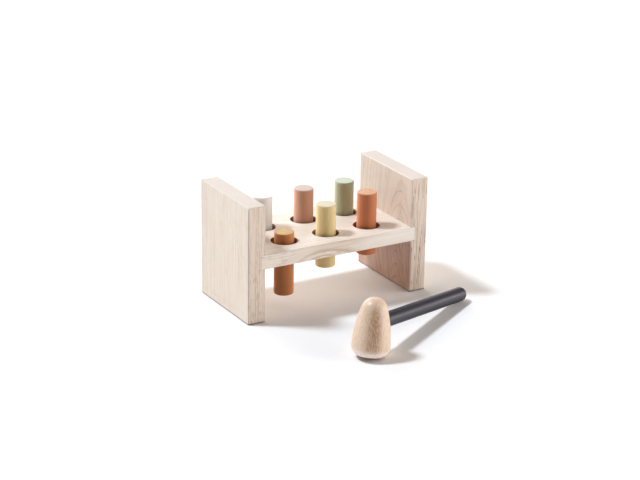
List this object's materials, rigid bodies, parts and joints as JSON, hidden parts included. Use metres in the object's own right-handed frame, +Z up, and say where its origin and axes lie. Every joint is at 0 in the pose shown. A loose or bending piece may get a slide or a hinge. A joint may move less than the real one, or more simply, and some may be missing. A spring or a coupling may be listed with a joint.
{
  "type": "peg pounding bench",
  "caption": "Wooden pounding bench: painted pegs held by rubber rings slide through a board housed between upright end panels, with a loose mallet that has a domed, turned head.",
  "frame": {"origin": "middle of the floor area that the bench and the mallet in front of it cover together, on the floor", "axes": "+X along the bench to the right, +Y to the rear, away from the mallet, +Z up along the pegs"},
  "size_m": [0.2248, 0.2385, 0.121],
  "materials": {
    "bench_wood": "bare sanded pale hardwood",
    "dowel_wood": "bare beech",
    "ring_rubber": "matt rubber",
    "white_paint": "satin paint on wood",
    "rose_paint": "satin paint on wood",
    "sage_paint": "satin paint on wood",
    "mustard_paint": "satin paint on wood",
    "cream_paint": "satin paint on wood",
    "terracotta_paint": "satin paint on wood",
    "mallet_wood": "satin lacquer on beech",
    "charcoal_paint": "satin paint on wood"
  },
  "bodies": {
    "bench": {"left_end_panel": "bench_wood", "right_end_panel": "bench_wood", "peg_board": "bench_wood", "left_front_dowel": "dowel_wood", "left_rear_dowel": "dowel_wood", "right_front_dowel": "dowel_wood", "right_rear_dowel": "dowel_wood", "rear_left_ring": "ring_rubber", "rear_middle_ring": "ring_rubber", "rear_right_ring": "ring_rubber", "front_left_ring": "ring_rubber", "front_middle_ring": "ring_rubber", "front_right_ring": "ring_rubber"},
    "white": {"white_peg": "white_paint"},
    "rose": {"rose_peg": "rose_paint"},
    "sage": {"sage_peg": "sage_paint"},
    "mustard": {"mustard_peg": "mustard_paint"},
    "cream": {"cream_peg": "cream_paint"},
    "terracotta": {"terracotta_peg": "terracotta_paint"},
    "mallet": {"mallet_head": "mallet_wood", "mallet_handle": "charcoal_paint"}
  },
  "joints": [
    {"name": "white_slide", "type": "slide", "parent": "bench", "child": "white", "axis": [0, 0, 1], "range_m": [-0.0334, 0.0166]},
    {"name": "rose_slide", "type": "slide", "parent": "bench", "child": "rose", "axis": [0, 0, 1], "range_m": [-0.0337, 0.0163]},
    {"name": "sage_slide", "type": "slide", "parent": "bench", "child": "sage", "axis": [0, 0, 1], "range_m": [-0.0343, 0.0157]},
    {"name": "mustard_slide", "type": "slide", "parent": "bench", "child": "mustard", "axis": [0, 0, 1], "range_m": [-0.0096, 0.0404]},
    {"name": "cream_slide", "type": "slide", "parent": "bench", "child": "cream", "axis": [0, 0, 1], "range_m": [-0.0306, 0.0194]},
    {"name": "terracotta_slide", "type": "slide", "parent": "bench", "child": "terracotta", "axis": [0, 0, 1], "range_m": [-0.0357, 0.0143]},
    {"name": "mallet_lift", "type": "slide", "parent": "bench", "child": "mallet", "axis": [0, 0, 1], "range_m": [0, 0.15]}
  ]
}
